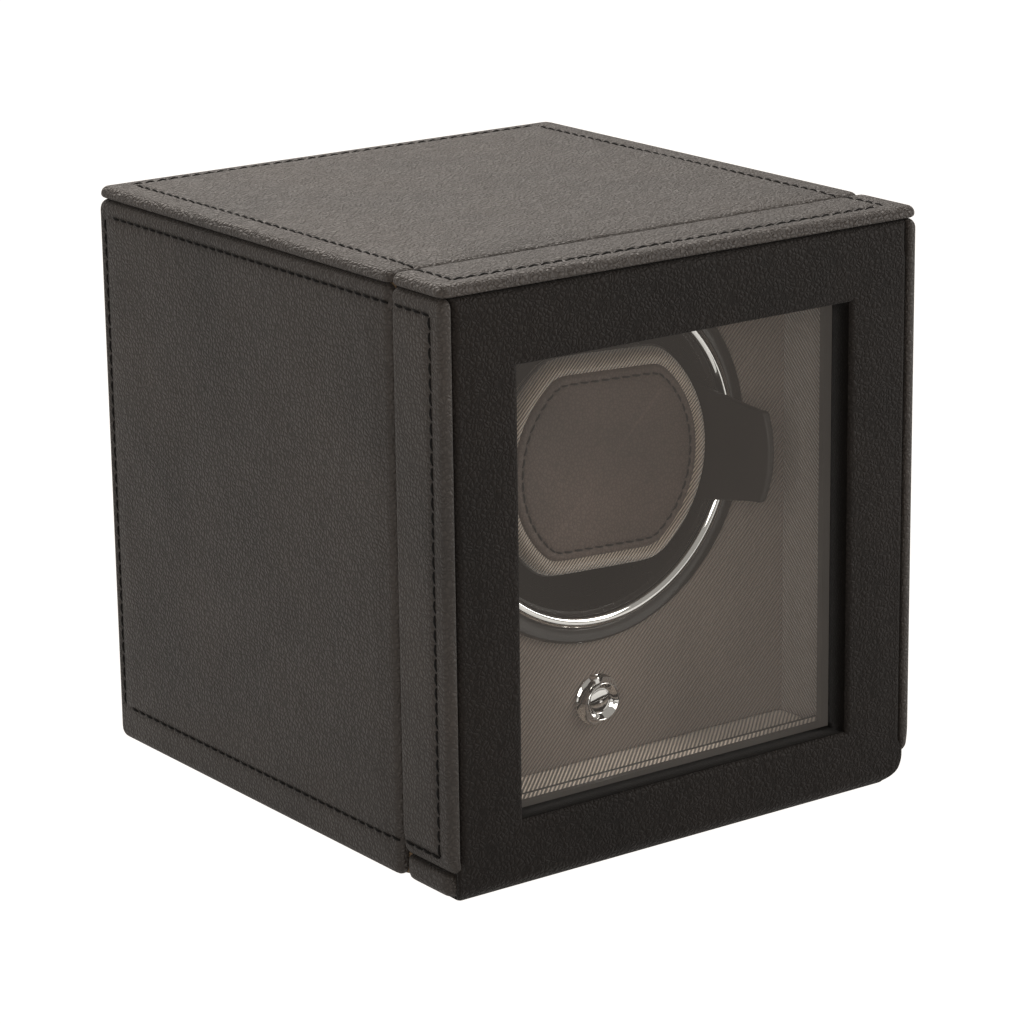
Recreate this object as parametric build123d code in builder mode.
from build123d import *
import os
from math import acos, cos, pi, radians, sin, tan

# Single watch winder box with a drop-front glazed cover.
# Millimetres. X is the width, Y the depth (the cover is at -Y), Z is up.
# The origin is on the table, at the middle of the box.

os.makedirs("parts", exist_ok=True)

# ================================================================ driving dimensions
WIDTH, DEPTH, HEIGHT = 147.0, 156.0, 154.0  # overall, feet included
HALF_W = WIDTH / 2
FRONT_Y, BACK_Y = -DEPTH / 2, DEPTH / 2
COVER_D = 21.2  # depth of the cover box
COVER_BACK_Y = FRONT_Y + COVER_D
BODY_FRONT_Y = COVER_BACK_Y + 0.5
GAP = 0.05  # clearance between touching pieces

# leather panels
SKIN = 3.0
PANEL_ROUND = 1.3
SIDE_TOP = 150.7  # top edge of the side panels
BODY_SIDE_Z = (2.0, SIDE_TOP)
COVER_SIDE_Z = (8.7, SIDE_TOP)
TOP_PANEL_Z = (151.0, HEIGHT)
BODY_Y = (BODY_FRONT_Y, BACK_Y)
COVER_Y = (FRONT_Y, COVER_BACK_Y)
LEFT_X, RIGHT_X = (-HALF_W, SKIN - HALF_W), (HALF_W - SKIN, HALF_W)

# boards
BOARD_IN, BOARD_OUT = 63.5, 70.4  # inner and outer faces of the side boards
BOARD_FRONT = -55.0  # front edge of the side and top boards
BACK_BOARD_Y = 68.1
BACK_BOARD_REAR = 74.9
BOARD_LOW = 8.0  # lower edge of the upright boards
CEILING = 143.8  # upper edge of the upright boards
BASE_Z = (2.4, 7.9)

# lined cavity, window and trims; outlines are (width, low z, high z)
CAVITY_W, CAVITY_LOW, CAVITY_HIGH = 124.8, 9.1, 142.8
WINDOW = (103.0, 18.5, 132.0)
GLASS = (113.6, 13.4, 137.3)
GLASS_SEAT_Y = -70.4  # front of the glass and of the cover frame
TRIM_W, TRIM_HIGH = 140.6, 150.8
COVER_OUTLINE = (TRIM_W, 8.8, TRIM_HIGH)

# magnets, as (x, z)
MAGNETS = ((-40, 147.4), (40, 147.4))
MAGNET_R, POCKET_R = 3.0, 3.05
MAGNET_L, POCKET_L = 3.6, 4.0
COVER_FRAME_BACK = -58.1

# winding axis and selector axis, both parallel to Y
AXIS_Z, KNOB_Z = 92.4, 28.3
AXIS_AT, KNOB_AT = (0, AXIS_Z), (0, KNOB_Z)
DRUM_AXIS = Axis((0, 0, AXIS_Z), (0, 1, 0))
KNOB_AXIS = Axis((0, 0, KNOB_Z), (0, 1, 0))
FACIA_Y = -39.0  # front of the fabric-covered facia
TILT = 2.5  # angle at which the cuff has stopped, clockwise from the front

# rotor cup and the housing round it
CUP_OUT_R, CUP_IN_R = 41.4, 39.9
CAN_IN_R, CAN_OUT_R = 42.6, 44.6
HOUSING_Y = -34.1  # front of the housing flange and of the selector switch
FLANGE_T = 2.5
LUG_R = 57.0  # distance of the four housing lugs from the axis
LUG_OFFSET = LUG_R * cos(radians(45))
LUGS = [(x, AXIS_Z + z) for x in (-LUG_OFFSET, LUG_OFFSET) for z in (-LUG_OFFSET, LUG_OFFSET)]
POSTS = ((40.0, AXIS_Z + 8.0), (8.0, AXIS_Z + 40.0), (31.0, AXIS_Z - 25.0))

# gears
MODULE, GEAR_TEETH, PINION_TEETH = 1.0, 48, 16
TOOTH_THINNING = 0.14  # taken off the tooth thickness at the pitch circle
CENTRES = MODULE * (GEAR_TEETH + PINION_TEETH) / 2
MESH_ANGLE = 45.0
MOTOR_X = CENTRES * cos(radians(MESH_ANGLE))
MOTOR_Z = AXIS_Z + CENTRES * sin(radians(MESH_ANGLE))
MOTOR_AT = (MOTOR_X, MOTOR_Z)

# electrics; places are (x, z)
PCB_Y, PCB_T = 60.0, 1.6
PCB_AT = (-38, 96)
PCB_PITCH = (37, 41)  # spacing of its four fixings
JACK_AT = (-48, 58)

# batteries
CELL_R, CELL_L, CELL_Z = 16.3, 59.6, 27.3
CELL_Y = 11.8  # front end of the cells
CELL_X = (-35.0, 0.0, 35.0)
CELLS = [(x, CELL_Z) for x in CELL_X]
BAY_W, BAY_H = 104.8, 33.2
SPRING_R0, SPRING_R1, SPRING_WIRE = 6.6, 4.45, 0.4  # radius at the box, at the cell, of the wire
SPRING_Y, SPRING_H = 6.5, 4.6
LEAD_R = 0.75


# ================================================================ helpers
def face_at(y):
    """Plane facing the front at depth y: local x, y are X, Z; a negative extrude goes back."""
    return Plane.XZ.offset(-y)


def axial(z):
    """Plane holding the Y-parallel axis at height z: local x is Y, local y is the radius."""
    return Plane(origin=(0, 0, z), x_dir=(0, 1, 0), z_dir=(1, 0, 0))


def box_between(x, y, z):
    """Box that fills a (low, high) range on each axis, in the open part."""
    with Locations((sum(x) / 2, sum(y) / 2, sum(z) / 2)):
        Box(x[1] - x[0], y[1] - y[0], z[1] - z[0])


def rectangle_z(width, low, high, mode=Mode.ADD):
    """Rectangle centred on x = 0 between two heights, in the open sketch."""
    with Locations((0, (low + high) / 2)):
        Rectangle(width, high - low, mode=mode)


def board(x, y, z):
    """Plain rectangular board."""
    with BuildPart() as piece:
        box_between(x, y, z)
    return piece


def leather_panel(x, y, z):
    """Panel with every edge rounded."""
    with BuildPart() as panel:
        box_between(x, y, z)
        fillet(panel.edges(), PANEL_ROUND)
    return panel


def frame(y, thickness, outline, opening):
    """Upright plate from y back, with a rectangular opening."""
    with BuildPart() as plate:
        with BuildSketch(face_at(y)):
            rectangle_z(*outline)
            rectangle_z(*opening, mode=Mode.SUBTRACT)
        extrude(amount=-thickness)
    return plate


def back_layer(y, thickness, outline, jack_hole, edge_round=0):
    """Upright layer of the back, with the battery opening and the jack hole."""
    with BuildPart() as layer:
        with BuildSketch(face_at(y)):
            rectangle_z(*outline)
            with Locations((0, CELL_Z)):
                Rectangle(BAY_W, BAY_H, mode=Mode.SUBTRACT)
            with Locations(JACK_AT):
                Circle(jack_hole, mode=Mode.SUBTRACT)
        extrude(amount=-thickness)
        if edge_round:
            fillet(layer.faces().sort_by(Axis.Y)[-1].outer_wire().edges(), edge_round)
    return layer


def facia_layer(y, thickness, screw_spots=()):
    """Layer of the facia, with holes for the rotor, the selector and any screws."""
    with BuildPart() as layer:
        with BuildSketch(face_at(y)):
            rectangle_z(126.6, BOARD_LOW + 0.1, CEILING - 0.1)
            with Locations(AXIS_AT):
                Circle(43.0, mode=Mode.SUBTRACT)
            with Locations(KNOB_AT):
                Circle(3.6, mode=Mode.SUBTRACT)
            for spot in screw_spots:
                with Locations(spot):
                    Circle(1.3, mode=Mode.SUBTRACT)
        extrude(amount=-thickness)
    return layer


def turned_ring(profile):
    """Solid of revolution about the winding axis; profile is (y, radius) points."""
    with BuildPart() as ring:
        with BuildSketch(axial(AXIS_Z)):
            with BuildLine():
                Polyline(*profile, close=True)
            make_face()
        revolve(axis=DRUM_AXIS)
    return ring


def cross_screws(spots, seat_y, head, shank, slot, turn=0):
    """Screws driven from behind. head, shank: (radius, length); slot: (length, depth)."""
    slot_w = 0.7
    with BuildPart() as screws:
        with BuildSketch(face_at(seat_y)):
            with Locations(*spots):
                Circle(head[0])
        extrude(amount=-head[1])
        with BuildSketch(face_at(seat_y)):
            with Locations(*spots):
                Circle(shank[0])
        extrude(amount=shank[1])
        with BuildSketch(face_at(seat_y + head[1])):
            with Locations(*spots):
                Rectangle(slot[0], slot_w, rotation=turn)
                Rectangle(slot_w, slot[0], rotation=turn)
        extrude(amount=slot[1], mode=Mode.SUBTRACT)
    return screws


def magnet_pair(y, amount):
    """Two magnets extruded from depth y; a negative amount goes back."""
    with BuildPart() as magnets:
        with BuildSketch(face_at(y)):
            with Locations(*MAGNETS):
                Circle(MAGNET_R)
        extrude(amount=amount)
    return magnets


def gear_points(teeth, phase, centre, addendum=0.9, dedendum=1.2, pressure=20.0):
    """Outline of an involute spur gear, one tooth centred on phase (degrees)."""
    pressure = radians(pressure)
    pitch_r = MODULE * teeth / 2
    base_r = pitch_r * cos(pressure)
    tip_r = pitch_r + addendum * MODULE
    root_r = pitch_r - dedendum * MODULE
    half_tooth = pi / (2 * teeth) - TOOTH_THINNING / (2 * pitch_r)
    pitch_involute = tan(pressure) - pressure

    def half_angle(radius):
        roll = acos(min(1.0, base_r / radius)) if radius > base_r else 0.0
        return half_tooth + pitch_involute - (tan(roll) - roll)

    flank_r = max(base_r, root_r)
    radii = [flank_r + (tip_r - flank_r) * k / 4 for k in range(5)]
    if flank_r > root_r:
        radii.insert(0, root_r)
    points = []
    for tooth in range(teeth):
        middle = radians(phase) + 2 * pi * tooth / teeth
        for side, flank in ((-1, radii), (1, radii[::-1])):
            for radius in flank:
                angle = middle + side * half_angle(radius)
                points.append((centre[0] + radius * cos(angle), centre[1] + radius * sin(angle)))
    return points


# ================================================================ carcass
BOARD_SPAN = (-BOARD_OUT, BOARD_OUT)
SIDE_BOARD_Y = (BOARD_FRONT, 68.0)
UPRIGHT_Z = (BOARD_LOW, CEILING)

base_board = board(BOARD_SPAN, (-73.0, BACK_BOARD_REAR), BASE_Z)
left_board = board((-BOARD_OUT, -BOARD_IN), SIDE_BOARD_Y, UPRIGHT_Z)
right_board = board((BOARD_IN, BOARD_OUT), SIDE_BOARD_Y, UPRIGHT_Z)

with BuildPart() as top_board:
    box_between(BOARD_SPAN, (BOARD_FRONT, BACK_BOARD_REAR), (143.9, 150.9))
    # magnet pockets in the front edge
    with BuildSketch(face_at(BOARD_FRONT)):
        with Locations(*MAGNETS):
            Circle(POCKET_R)
    extrude(amount=-POCKET_L, mode=Mode.SUBTRACT)

back_board = back_layer(
    BACK_BOARD_Y, BACK_BOARD_REAR - BACK_BOARD_Y, (2 * BOARD_OUT, *UPRIGHT_Z), jack_hole=4.15
)

# ================================================================ leather of the body
left_panel = leather_panel(LEFT_X, BODY_Y, BODY_SIDE_Z)
right_panel = leather_panel(RIGHT_X, BODY_Y, BODY_SIDE_Z)
top_panel = leather_panel((-HALF_W, HALF_W), BODY_Y, TOP_PANEL_Z)
back_panel = back_layer(75.0, 2.6, (140.4, 2.4, SIDE_TOP), jack_hole=5.9, edge_round=1.2)

with BuildPart() as base_cover:
    box_between((-69.5, 69.5), (-55.0, 76.0), (1.295, 2.345))
    fillet(base_cover.edges().filter_by(Axis.Z), 4.0)

with BuildPart() as feet:
    with BuildSketch(Plane.XY):
        with Locations((-57, -46), (57, -46), (-57, 64), (57, 64)):
            Circle(6.0)
    extrude(amount=1.25)

# the base runs on under the cover as a rounded ledge, wrapped in leather
with BuildPart() as ledge_wrap:
    box_between((-73.2, 73.2), (-76.4, -56.6), (1.9, 8.3))
    fillet(ledge_wrap.edges().filter_by(Axis.X).group_by(Axis.Y)[0], 3.1)
    # room for the front of the base board
    with BuildSketch(face_at(-73.05)):
        rectangle_z(140.9, BASE_Z[0] - GAP, BASE_Z[1] + GAP)
    extrude(amount=-20.0, mode=Mode.SUBTRACT)

# one strip of leather, glued under the base, turns up round the ledge into the cover front
HINGE_HALF_W = 71.4
with BuildPart() as hinge_leather:
    with BuildSketch(Plane.YZ.offset(-HINGE_HALF_W)):
        with BuildLine():
            underside = Line((-56.0, 0.5), (-73.2, 0.5))
            outer_bend = RadiusArc(underside @ 1, (-77.8, 5.1), 4.6)
            front = Line(outer_bend @ 1, (-77.8, 8.4))
            top_edge = Line(front @ 1, (-76.6, 8.4))
            rear = Line(top_edge @ 1, (-76.6, 5.1))
            inner_bend = RadiusArc(rear @ 1, (-73.2, 1.7), -3.4)
            upper_side = Line(inner_bend @ 1, (-56.0, 1.7))
            Line(upper_side @ 1, underside @ 0)
        make_face()
    extrude(amount=2 * HINGE_HALF_W)

# ================================================================ cavity
body_front_trim = frame(
    BODY_FRONT_Y, 1.2, (TRIM_W, 8.1, TRIM_HIGH), (CAVITY_W, CAVITY_LOW + 0.1, CAVITY_HIGH)
)
cavity_lining = frame(
    BOARD_FRONT, 15.9, (2 * BOARD_IN - 0.1, *UPRIGHT_Z), (CAVITY_W, CAVITY_LOW, CAVITY_HIGH)
)
facia_fabric = facia_layer(FACIA_Y, 0.7)
facia_board = facia_layer(-38.2, 4.0, LUGS)

BEZEL_PROFILE = (  # (y, radius)
    (-39.05, 41.8), (-39.7, 41.8), (-39.7, 44.1), (-40.7, 44.1),
    (-40.7, 46.9), (-40.35, 47.9), (-39.8, 48.2), (-39.05, 48.2),
)
bezel_ring = turned_ring(BEZEL_PROFILE)

with BuildPart() as chrome_ring:
    with BuildSketch(axial(AXIS_Z)):
        with BuildLine():
            seat = Line((-39.75, 40.7), (-39.75, 44.0))
            rim = Line(seat @ 1, (-40.4, 44.0))
            crown = ThreePointArc(rim @ 1, (-42.0, 42.35), (-40.4, 40.7))
            Line(crown @ 1, seat @ 0)
        make_face()
    revolve(axis=DRUM_AXIS)

# ================================================================ winding module
HOUSING_PROFILE = (  # (y, radius): front flange, drum wall, rear wall and bush seat
    (HOUSING_Y, CAN_IN_R), (HOUSING_Y, 50.0), (HOUSING_Y + FLANGE_T, 50.0),
    (HOUSING_Y + FLANGE_T, CAN_OUT_R), (13.0, CAN_OUT_R), (13.0, 9.0), (16.6, 9.0),
    (16.6, 5.0), (9.0, 5.0), (9.0, 9.0), (10.5, 9.0), (10.5, CAN_IN_R),
)
POST_END_Y = 28.9
with BuildPart() as module_housing:
    with BuildSketch(axial(AXIS_Z)):
        with BuildLine():
            Polyline(*HOUSING_PROFILE, close=True)
        make_face()
    revolve(axis=DRUM_AXIS)
    # four screw lugs round the flange
    with BuildSketch(face_at(HOUSING_Y)):
        with Locations(*LUGS):
            Circle(5.5)
        with Locations(AXIS_AT):
            with PolarLocations(51.0, 4, start_angle=45):
                Rectangle(14.0, 11.0)
            Circle(48.0, mode=Mode.SUBTRACT)
        with Locations(*LUGS):
            Circle(1.7, mode=Mode.SUBTRACT)
    extrude(amount=-FLANGE_T)
    # posts behind the rear wall, bored for the bracket screws
    with BuildSketch(face_at(13.0)):
        with Locations(*POSTS):
            Circle(3.6)
    extrude(amount=13.0 - POST_END_Y)
    with BuildSketch(face_at(POST_END_Y)):
        with Locations(*POSTS):
            Circle(1.35)
    extrude(amount=13.0, mode=Mode.SUBTRACT)

housing_screws = cross_screws(
    LUGS, HOUSING_Y + FLANGE_T, head=(3.0, 1.8), shank=(1.25, 6.0), slot=(4.0, 0.9), turn=45
)

BUSH_PROFILE = (  # (y, radius)
    (8.2, 3.06), (8.2, 7.0), (8.9, 7.0), (8.9, 4.99), (16.7, 4.99), (16.7, 3.06),
)
shaft_bush = turned_ring(BUSH_PROFILE)

BRACKET_Y, BRACKET_T = 29.0, 1.6
with BuildPart() as motor_bracket:
    with BuildSketch(face_at(BRACKET_Y)):
        with Locations(*POSTS):
            Circle(5.0)
        with Locations(MOTOR_AT):
            Circle(13.4)
        make_hull()
        with Locations(*POSTS):
            Circle(1.7, mode=Mode.SUBTRACT)
        with Locations(MOTOR_AT):
            Circle(4.0, mode=Mode.SUBTRACT)
    extrude(amount=-BRACKET_T)

bracket_screws = cross_screws(
    POSTS, BRACKET_Y + BRACKET_T + GAP, head=(2.9, 1.9), shank=(1.3, 10.0), slot=(3.8, 1.0)
)

with BuildPart() as motor_gearbox:
    with BuildSketch(face_at(30.7)):
        with Locations(MOTOR_AT):
            Circle(12.2)
    extrude(amount=-13.3)
    fillet(motor_gearbox.edges().filter_by(GeomType.CIRCLE), 0.8)
    # nose through the bracket, then the bore for the output shaft
    with BuildSketch(face_at(28.6)):
        with Locations(MOTOR_AT):
            Circle(3.6)
    extrude(amount=-2.5)
    with BuildSketch(face_at(28.6)):
        with Locations(MOTOR_AT):
            Circle(1.56)
    extrude(amount=-6.4, mode=Mode.SUBTRACT)

MOTOR_CAN_Y, MOTOR_CAN_L = 44.05, 17.5
with BuildPart() as motor_can:
    with BuildSketch(face_at(MOTOR_CAN_Y)):
        with Locations(MOTOR_AT):
            Circle(10.1)
            Rectangle(22.0, 15.2, mode=Mode.INTERSECT)
    extrude(amount=-MOTOR_CAN_L)
    fillet(motor_can.faces().sort_by(Axis.Y)[-1].edges(), 1.0)
    # rear boss and two terminals
    with BuildSketch(face_at(MOTOR_CAN_Y + MOTOR_CAN_L)):
        with Locations(MOTOR_AT):
            Circle(3.0)
    extrude(amount=-1.6)
    with BuildSketch(face_at(MOTOR_CAN_Y + MOTOR_CAN_L)):
        with Locations((MOTOR_X - 6.0, MOTOR_Z), (MOTOR_X + 6.0, MOTOR_Z)):
            Rectangle(0.5, 2.4)
    extrude(amount=-3.2)

# ================================================================ electrics
with BuildPart() as control_board:
    with BuildSketch(face_at(PCB_Y)):
        with Locations(PCB_AT):
            Rectangle(44, 48)
        with Locations(PCB_AT):
            with GridLocations(*PCB_PITCH, 2, 2):
                Circle(1.3, mode=Mode.SUBTRACT)
    extrude(amount=-PCB_T)

PCB_BLOCKS = (  # (x, z, width, height, how far it stands forward)
    (-42, 100, 10, 6.2, 1.7),
    (-28, 108, 7.6, 5.0, 1.6),
    (-51, 84, 6.0, 12.4, 5.6),
    (-48, 112, 1.6, 3.2, 0.7),
    (-44, 112, 1.6, 3.2, 0.7),
    (-40, 112, 1.6, 3.2, 0.7),
)
with BuildPart() as board_parts:
    for x, z, width, height, rise in PCB_BLOCKS:
        with BuildSketch(face_at(PCB_Y - GAP)):
            with Locations((x, z)):
                Rectangle(width, height)
        extrude(amount=rise)
    # two round cans
    with BuildSketch(face_at(PCB_Y - GAP)):
        with Locations((-27, 88), (-34, 86)):
            Circle(3.1)
    extrude(amount=8.0)
    # spacers behind the board
    with BuildSketch(face_at(PCB_Y + PCB_T + GAP)):
        with Locations(PCB_AT):
            with GridLocations(*PCB_PITCH, 2, 2):
                Circle(2.6)
                Circle(1.15, mode=Mode.SUBTRACT)
    extrude(amount=-6.4)

with BuildPart() as board_screws:
    for radius, amount in ((2.1, 1.3), (1.1, -6.0)):  # head forward, shank back
        with BuildSketch(face_at(PCB_Y - GAP)):
            with Locations(PCB_AT):
                with GridLocations(*PCB_PITCH, 2, 2):
                    Circle(radius)
        extrude(amount=amount)

SWITCH_L, SWITCH_NECK_L = 9.5, 4.6
with BuildPart() as selector_switch:
    with BuildSketch(face_at(HOUSING_Y)):
        with Locations(KNOB_AT):
            Rectangle(14.0, 14.0)
    extrude(amount=-SWITCH_L)
    fillet(selector_switch.edges().filter_by(Axis.Y), 1.0)
    # bored neck through the facia
    with BuildSketch(face_at(HOUSING_Y)):
        with Locations(KNOB_AT):
            Circle(3.45)
    extrude(amount=SWITCH_NECK_L)
    with BuildSketch(face_at(HOUSING_Y - SWITCH_NECK_L)):
        with Locations(KNOB_AT):
            Circle(2.1)
    extrude(amount=-9.0, mode=Mode.SUBTRACT)
    # terminals
    with BuildSketch(face_at(HOUSING_Y + SWITCH_L)):
        with Locations(*[(x, KNOB_Z - 4) for x in (-4, 0, 4)]):
            Rectangle(0.9, 0.5)
    extrude(amount=-3.0)

JACK_STEPS = (  # (front y, radius, length, mode): barrel, flange, bore, centre pin
    (59.5, 4.05, 15.5, Mode.ADD),
    (75.0, 5.6, 2.1, Mode.ADD),
    (66.0, 2.85, 12.0, Mode.SUBTRACT),
    (65.5, 1.0, 10.6, Mode.ADD),
)
with BuildPart() as dc_jack:
    for y, radius, length, mode in JACK_STEPS:
        with BuildSketch(face_at(y)):
            with Locations(JACK_AT):
                Circle(radius)
        extrude(amount=-length, mode=mode)

with BuildPart() as jack_nut:
    with BuildSketch(face_at(65.2)):
        with Locations(JACK_AT):
            RegularPolygon(6.2, 6)
            Circle(4.12, mode=Mode.SUBTRACT)
    extrude(amount=-2.8)

BATTERY_BOX_Y, BATTERY_WALL = 4.0, 2.0
with BuildPart() as battery_box:
    with BuildSketch(face_at(BATTERY_BOX_Y)):
        rectangle_z(108.0, BOARD_LOW, 45.1)
    extrude(amount=-64.0)
    with BuildSketch(face_at(BATTERY_BOX_Y + BATTERY_WALL)):
        with Locations((0, CELL_Z)):
            Rectangle(BAY_W, BAY_H)
    extrude(amount=-63.0, mode=Mode.SUBTRACT)
    # low ribs between the cells
    with BuildSketch(face_at(BATTERY_BOX_Y + BATTERY_WALL)):
        with Locations((-17.5, 15.5), (17.5, 15.5)):
            Rectangle(1.2, 9.8)
    extrude(amount=-60.0)

with BuildPart() as battery_cells:
    with BuildSketch(face_at(CELL_Y)):
        with Locations(*CELLS):
            Circle(CELL_R)
    extrude(amount=-CELL_L)
    fillet(battery_cells.edges().filter_by(GeomType.CIRCLE), 0.8)
    # end caps
    with BuildSketch(face_at(CELL_Y + CELL_L)):
        with Locations(*CELLS):
            Circle(4.7)
    extrude(amount=-1.5)


def spring_path(centre_x):
    """Conical coil in short straight runs, from its wide seat on the box to the cell."""
    turns, runs_per_turn = 2.5, 16
    steps = int(turns * runs_per_turn)
    points = []
    for i in range(steps + 1):
        part_way = i / steps
        angle = 2 * pi * turns * part_way
        radius = SPRING_R0 + (SPRING_R1 - SPRING_R0) * part_way
        x = centre_x + radius * cos(angle)
        z = CELL_Z + radius * sin(angle)
        points.append((x, SPRING_Y + SPRING_H * part_way, z))
    return points


with BuildPart() as battery_springs:
    for centre_x in CELL_X:
        with BuildLine() as coil:
            Polyline(*spring_path(centre_x))
        with BuildSketch(Plane(origin=coil.line @ 0, z_dir=coil.line % 0)):
            Circle(SPRING_WIRE)
        sweep(path=coil.line, transition=Transition.RIGHT)

DOOR_RECESS_AT = (0, CELL_Z + 9.0)
with BuildPart() as battery_door:
    with BuildSketch(face_at(74.9)):
        with Locations((0, CELL_Z)):
            Rectangle(104.2, 32.6)
    extrude(amount=-2.5)
    fillet(battery_door.faces().sort_by(Axis.Y)[-1].edges(), 0.6)
    # rim on the inner face
    with BuildSketch(face_at(73.3)):
        with Locations((0, CELL_Z)):
            Rectangle(102.6, 31.0)
            Rectangle(99.0, 27.4, mode=Mode.SUBTRACT)
    extrude(amount=-1.7)
    # finger recess with grip ribs
    with BuildSketch(face_at(77.4)):
        with Locations(DOOR_RECESS_AT):
            SlotOverall(26.0, 8.0)
    extrude(amount=1.4, mode=Mode.SUBTRACT)
    with BuildSketch(face_at(76.0)):
        with Locations(DOOR_RECESS_AT):
            with GridLocations(3.0, 0, 6, 1):
                Rectangle(1.0, 5.2)
    extrude(amount=-0.9)

LEADS = (  # each lead is a spline through these (x, y, z) points
    (
        (-8.0, -22.5, 24.7), (-30.0, -14.0, 34.0), (-58.6, 4.0, 52.0),
        (-59.0, 40.0, 60.0), (-52.0, 53.2, 80.0),
    ),
    (
        (16.6, 66.0, MOTOR_Z + 2.0), (4.0, 65.5, 122.0), (-10.0, 64.0, 110.0),
        (-15.0, 57.0, 96.0), (-21.0, 54.0, 92.0),
    ),
    ((-48.0, 58.4, 58.0), (-50.0, 54.0, 64.0), (-50.0, 53.0, 74.0)),
    ((-46.0, 62.0, 47.0), (-44.0, 56.0, 56.0), (-40.0, 55.0, 70.0), (-46.0, 53.0, 82.0)),
)
with BuildPart() as wiring:
    for points in LEADS:
        with BuildLine() as lead:
            Spline(*points)
        with BuildSketch(Plane(origin=lead.line @ 0, z_dir=lead.line % 0)):
            Circle(LEAD_R)
        sweep(path=lead.line)

# ================================================================ rotor
SHAFT_HOLE_R = 3.02
CUP_PROFILE = (  # (y, radius): drum wall, rear wall, hub
    (-38.9, CUP_OUT_R), (8.0, CUP_OUT_R), (8.0, SHAFT_HOLE_R), (-2.0, SHAFT_HOLE_R),
    (-2.0, 8.0), (5.5, 8.0), (5.5, CUP_IN_R - 2.0), (3.5, CUP_IN_R), (-38.9, CUP_IN_R),
)
with BuildPart() as rotor_cup:
    with BuildSketch(axial(AXIS_Z)):
        with BuildLine():
            Polyline(*CUP_PROFILE, close=True)
        make_face()
    revolve(axis=DRUM_AXIS)
    # ribs that form two channels for the side plates of the cuff
    with BuildSketch(face_at(-24.0)):
        with Locations(AXIS_AT):
            Circle(CUP_IN_R + 0.6)
            Rectangle(62.0, 100.0, mode=Mode.SUBTRACT)
            Rectangle(100.0, 31.2, mode=Mode.SUBTRACT)
            Rectangle(100.0, 36.4, mode=Mode.INTERSECT)
    extrude(amount=-29.6)

SHAFT_PROFILE = (  # (y, radius), with a groove for the clip
    (-1.8, 0), (-1.8, 3.0), (26.3, 3.0), (26.3, 2.3),
    (27.1, 2.3), (27.1, 3.0), (28.4, 3.0), (28.4, 0),
)
rotor_shaft = turned_ring(SHAFT_PROFILE)

with BuildPart() as drum_gear:
    with BuildSketch(face_at(17.0)):
        with BuildLine():
            Polyline(*gear_points(GEAR_TEETH, MESH_ANGLE, AXIS_AT), close=True)
        make_face()
    extrude(amount=-5.0)
    # recess in the rear part of the gear, crossed by five spokes
    with BuildSketch(face_at(19.0)):
        with Locations(AXIS_AT):
            Circle(20.0)
            Circle(8.5, mode=Mode.SUBTRACT)
            with PolarLocations(14.0, 5):
                Rectangle(14.0, 3.4, mode=Mode.SUBTRACT)
    extrude(amount=-3.5, mode=Mode.SUBTRACT)
    # hub and bore
    with BuildSketch(face_at(22.0)):
        with Locations(AXIS_AT):
            Circle(7.0)
    extrude(amount=-4.1)
    with BuildSketch(face_at(16.0)):
        with Locations(AXIS_AT):
            Circle(SHAFT_HOLE_R)
    extrude(amount=-12.0, mode=Mode.SUBTRACT)

with BuildPart() as shaft_clip:
    with BuildSketch(face_at(26.35)):
        with Locations(AXIS_AT):
            Circle(5.4)
            Circle(2.35, mode=Mode.SUBTRACT)
        with Locations((0, AXIS_Z - 4.0)):
            Rectangle(3.2, 6.0, mode=Mode.SUBTRACT)
    extrude(amount=-0.7)

# ================================================================ motor output
PINION_PHASE = MESH_ANGLE + 180.0 + 180.0 / PINION_TEETH  # a tooth gap faces the drum gear
with BuildPart() as motor_pinion:
    with BuildSketch(face_at(17.2)):
        with BuildLine():
            Polyline(*gear_points(PINION_TEETH, PINION_PHASE, MOTOR_AT), close=True)
        make_face()
    extrude(amount=-5.0)
    # collar, then the motor's output shaft
    for y, radius, length in ((22.2, 4.2, 2.6), (16.6, 1.5, 18.0)):
        with BuildSketch(face_at(y)):
            with Locations(MOTOR_AT):
                Circle(radius)
        extrude(amount=-length)

# ================================================================ cuff
CUFF_AT = (-18.6, AXIS_Z)  # (y, z) of the core
CUFF_CORE = (  # (half width, depth, height, corner radius, mode): body, ends, bore
    (26.0, 26.0, 42.0, 9.0, Mode.ADD),
    (33.3, 20.0, 27.0, 3.0, Mode.ADD),
    (40.0, 14.0, 21.0, 2.0, Mode.SUBTRACT),
)
with BuildPart() as cuff_core:
    for half_width, depth, height, corner, mode in CUFF_CORE:
        with BuildSketch(Plane.YZ.offset(-half_width)):
            with Locations(CUFF_AT):
                RectangleRounded(depth, height, corner)
        extrude(amount=2 * half_width, mode=mode)

SLEEVE_HALF_W = 25.5
with BuildPart() as cuff_sleeve:
    with BuildSketch(Plane.YZ.offset(-SLEEVE_HALF_W)):
        with Locations((-16.9, AXIS_Z)):
            RectangleRounded(29.6, 50.0, 12.5)
        with Locations(CUFF_AT):
            RectangleRounded(26.1, 42.1, 9.05, mode=Mode.SUBTRACT)
        # open towards the front
        with Locations((-36.0, AXIS_Z)):
            Rectangle(9.0, 60.0, mode=Mode.SUBTRACT)
    extrude(amount=2 * SLEEVE_HALF_W)


def cuff_face(y, thickness, radius, half_height, corner, front_round=0):
    """Disc cut flat above and below, with rounded corners and, if asked, a rounded front."""
    with BuildPart() as pad:
        with BuildSketch(face_at(y)):
            with Locations(AXIS_AT):
                Circle(radius)
                Rectangle(80.0, 2 * half_height, mode=Mode.INTERSECT)
        extrude(amount=-thickness)
        fillet(pad.edges().filter_by(Axis.Y), corner)
        if front_round:
            fillet(pad.faces().sort_by(Axis.Y)[0].edges(), front_round)
    return pad


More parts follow.
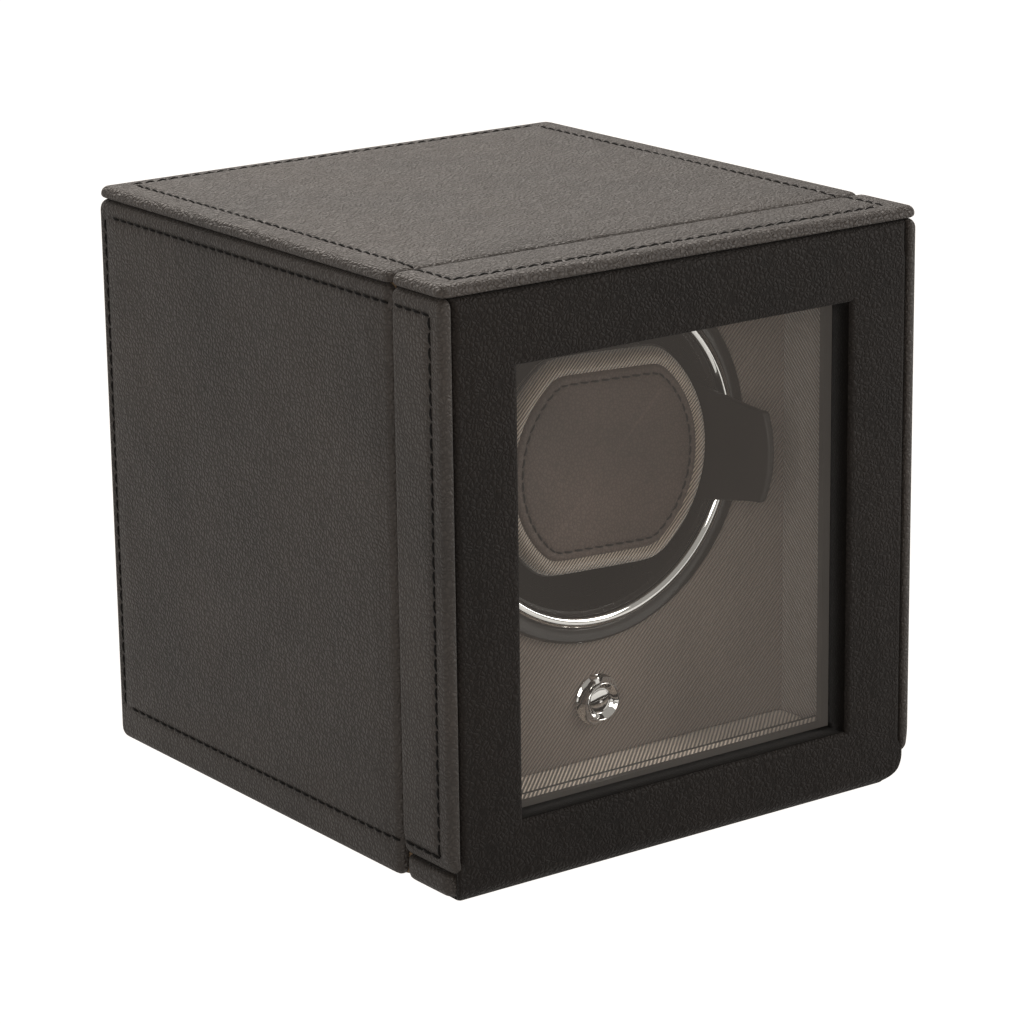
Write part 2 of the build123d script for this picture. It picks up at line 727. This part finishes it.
cuff_pad = cuff_face(-43.2, 11.4, radius=33.0, half_height=28.2, corner=5.0, front_round=4.4)
cuff_patch = cuff_face(-44.6, 1.35, radius=28.4, half_height=23.4, corner=3.0)

# The two side plates share one section: straight inside the cup, then flared
# outward to a bowed tip. The right one reaches further forward than the left.
PLATE_TIP_RIGHT, PLATE_TIP_LEFT = -63.4, -54.5
PLATE_IN, PLATE_T = 33.4, 2.0
PLATE_BACK_Y = 3.0
PLATE_HALF_H = 15.2
FLARE_Y, FLARE = -41.0, 4.0  # where the flare starts, and its size after TAPER_RUN
TAPER_Y, TAPER = -38.0, 3.2  # where the edges draw in, and by how much after TAPER_RUN
TAPER_RUN = 22.4


def side_plate(tip_y):
    """Right-hand side plate of the cuff, with its tip at depth tip_y."""
    outer_x = PLATE_IN + PLATE_T
    flare = FLARE * (FLARE_Y - tip_y) / TAPER_RUN
    shoulder_y = tip_y + 3.0
    half = PLATE_HALF_H - TAPER * (TAPER_Y - shoulder_y) / TAPER_RUN
    low, high = AXIS_Z - PLATE_HALF_H, AXIS_Z + PLATE_HALF_H
    with BuildPart() as plate:
        # section seen from above
        with BuildSketch(Plane.XY.offset(AXIS_Z - 16.0)):
            with BuildLine():
                Polyline(
                    (PLATE_IN, PLATE_BACK_Y),
                    (outer_x, PLATE_BACK_Y),
                    (outer_x, FLARE_Y),
                    (outer_x + flare, tip_y),
                    (PLATE_IN + flare, tip_y),
                    (PLATE_IN, FLARE_Y),
                    close=True,
                )
            make_face()
        extrude(amount=32.0)
        # outline seen from the side
        with BuildSketch(Plane.YZ):
            with BuildLine():
                lower = Line((PLATE_BACK_Y, low), (TAPER_Y, low))
                lower_taper = Line(lower @ 1, (shoulder_y, AXIS_Z - half))
                bow = ThreePointArc(lower_taper @ 1, (tip_y, AXIS_Z), (shoulder_y, AXIS_Z + half))
                upper_taper = Line(bow @ 1, (TAPER_Y, high))
                upper = Line(upper_taper @ 1, (PLATE_BACK_Y, high))
                Line(upper @ 1, lower @ 0)
            make_face()
        extrude(amount=60.0, mode=Mode.INTERSECT)
    return plate.part


with BuildPart() as cuff_plate_right:
    add(side_plate(PLATE_TIP_RIGHT))

with BuildPart() as cuff_plate_left:
    add(side_plate(PLATE_TIP_LEFT).mirror(Plane.YZ))

# ================================================================ selector knob
KNOB_PROFILE = (  # (y, radius): skirt, then a dished front
    (-39.15, 0), (-39.15, 6.7), (-39.45, 6.9), (-39.8, 6.75), (-41.6, 5.4), (-42.3, 5.1),
    (-42.45, 4.9), (-42.3, 4.65), (-41.7, 3.9), (-41.1, 2.4), (-40.9, 0),
)
INDEX_TURN = radians(15)
INDEX_PLANE = Plane(
    origin=(0, -39.2, KNOB_Z), x_dir=(cos(INDEX_TURN), 0, sin(INDEX_TURN)), z_dir=(0, -1, 0)
)
with BuildPart() as selector_knob:
    with BuildSketch(axial(KNOB_Z)):
        with BuildLine():
            Polyline(*KNOB_PROFILE, close=True)
        make_face()
    revolve(axis=KNOB_AXIS)
    # raised index block on the skirt, turned to the first position
    with BuildSketch(INDEX_PLANE):
        with Locations((0, 5.9)):
            Rectangle(1.9, 1.7)
    extrude(amount=2.6)
    # spindle into the switch
    with BuildSketch(face_at(-39.4)):
        with Locations(KNOB_AT):
            Circle(2.0)
    extrude(amount=-9.0)

# ================================================================ cover
with BuildPart() as cover_frame:
    with BuildSketch(face_at(GLASS_SEAT_Y)):
        rectangle_z(*COVER_OUTLINE)
        rectangle_z(114.0, 13.2, 137.5, mode=Mode.SUBTRACT)
    extrude(amount=GLASS_SEAT_Y - COVER_FRAME_BACK)
    # wider opening behind the glass
    with BuildSketch(face_at(-66.0)):
        rectangle_z(2 * BOARD_IN, 15.0, 143.9)
    extrude(amount=-9.0, mode=Mode.SUBTRACT)
    # magnet pockets in the rear edge
    with BuildSketch(face_at(COVER_FRAME_BACK)):
        with Locations(*MAGNETS):
            Circle(POCKET_R)
    extrude(amount=POCKET_L, mode=Mode.SUBTRACT)

with BuildPart() as cover_front_panel:
    with BuildSketch(face_at(-77.7)):
        rectangle_z(140.2, 8.6, 150.6)
        rectangle_z(*WINDOW, mode=Mode.SUBTRACT)
    extrude(amount=-7.2)
    fillet(cover_front_panel.edges().filter_by(Axis.Y).group_by(SortBy.LENGTH)[-1], 1.0)
    fillet(cover_front_panel.faces().sort_by(Axis.Y)[0].edges(), 1.4)

cover_left_panel = leather_panel(LEFT_X, COVER_Y, COVER_SIDE_Z)
cover_right_panel = leather_panel(RIGHT_X, COVER_Y, COVER_SIDE_Z)
cover_top_panel = leather_panel((-HALF_W, HALF_W), COVER_Y, TOP_PANEL_Z)

with BuildPart() as cover_glass:
    with BuildSketch(face_at(GLASS_SEAT_Y)):
        rectangle_z(*GLASS)
    extrude(amount=-2.5)

glass_retainer = frame(-67.8, 1.8, GLASS, WINDOW)
cover_rear_trim = frame(-58.0, 1.2, COVER_OUTLINE, (CAVITY_W, 16.0, CAVITY_HIGH))
cover_lining = frame(-65.9, 7.8, (126.8, 15.1, 143.8), (CAVITY_W, 16.1, CAVITY_HIGH))
cover_magnets = magnet_pair(COVER_FRAME_BACK - GAP, MAGNET_L)
body_magnets = magnet_pair(BOARD_FRONT + GAP, -MAGNET_L)

# the rotor has stopped a little off level, and the cuff and its channels with it
for tilted in (
    rotor_cup, cuff_core, cuff_sleeve, cuff_pad, cuff_patch, cuff_plate_right, cuff_plate_left,
):
    tilted.part = tilted.part.rotate(DRUM_AXIS, TILT)

# ================================================================ export
pieces = dict(
    # carcass and leather
    base_board=base_board, left_board=left_board, right_board=right_board,
    top_board=top_board, back_board=back_board,
    left_panel=left_panel, right_panel=right_panel, top_panel=top_panel,
    back_panel=back_panel, base_cover=base_cover, feet=feet,
    ledge_wrap=ledge_wrap, hinge_leather=hinge_leather,
    # cavity
    body_front_trim=body_front_trim, cavity_lining=cavity_lining,
    facia_fabric=facia_fabric, facia_board=facia_board,
    bezel_ring=bezel_ring, chrome_ring=chrome_ring,
    # winding module
    module_housing=module_housing, housing_screws=housing_screws, shaft_bush=shaft_bush,
    motor_bracket=motor_bracket, bracket_screws=bracket_screws,
    motor_gearbox=motor_gearbox, motor_can=motor_can,
    # electrics
    control_board=control_board, board_parts=board_parts, board_screws=board_screws,
    selector_switch=selector_switch, dc_jack=dc_jack, jack_nut=jack_nut,
    battery_box=battery_box, battery_cells=battery_cells,
    battery_springs=battery_springs, battery_door=battery_door, wiring=wiring,
    # rotor, cuff and knob
    rotor_cup=rotor_cup, rotor_shaft=rotor_shaft, drum_gear=drum_gear,
    shaft_clip=shaft_clip, motor_pinion=motor_pinion,
    cuff_core=cuff_core, cuff_sleeve=cuff_sleeve, cuff_pad=cuff_pad, cuff_patch=cuff_patch,
    cuff_plate_right=cuff_plate_right, cuff_plate_left=cuff_plate_left,
    selector_knob=selector_knob,
    # cover
    cover_frame=cover_frame, cover_front_panel=cover_front_panel,
    cover_left_panel=cover_left_panel, cover_right_panel=cover_right_panel,
    cover_top_panel=cover_top_panel, cover_glass=cover_glass,
    glass_retainer=glass_retainer, cover_rear_trim=cover_rear_trim,
    cover_lining=cover_lining, cover_magnets=cover_magnets, body_magnets=body_magnets,
)
for label, piece in pieces.items():
    piece.part.label = label
    export_step(piece.part, f"parts/{label}.step")
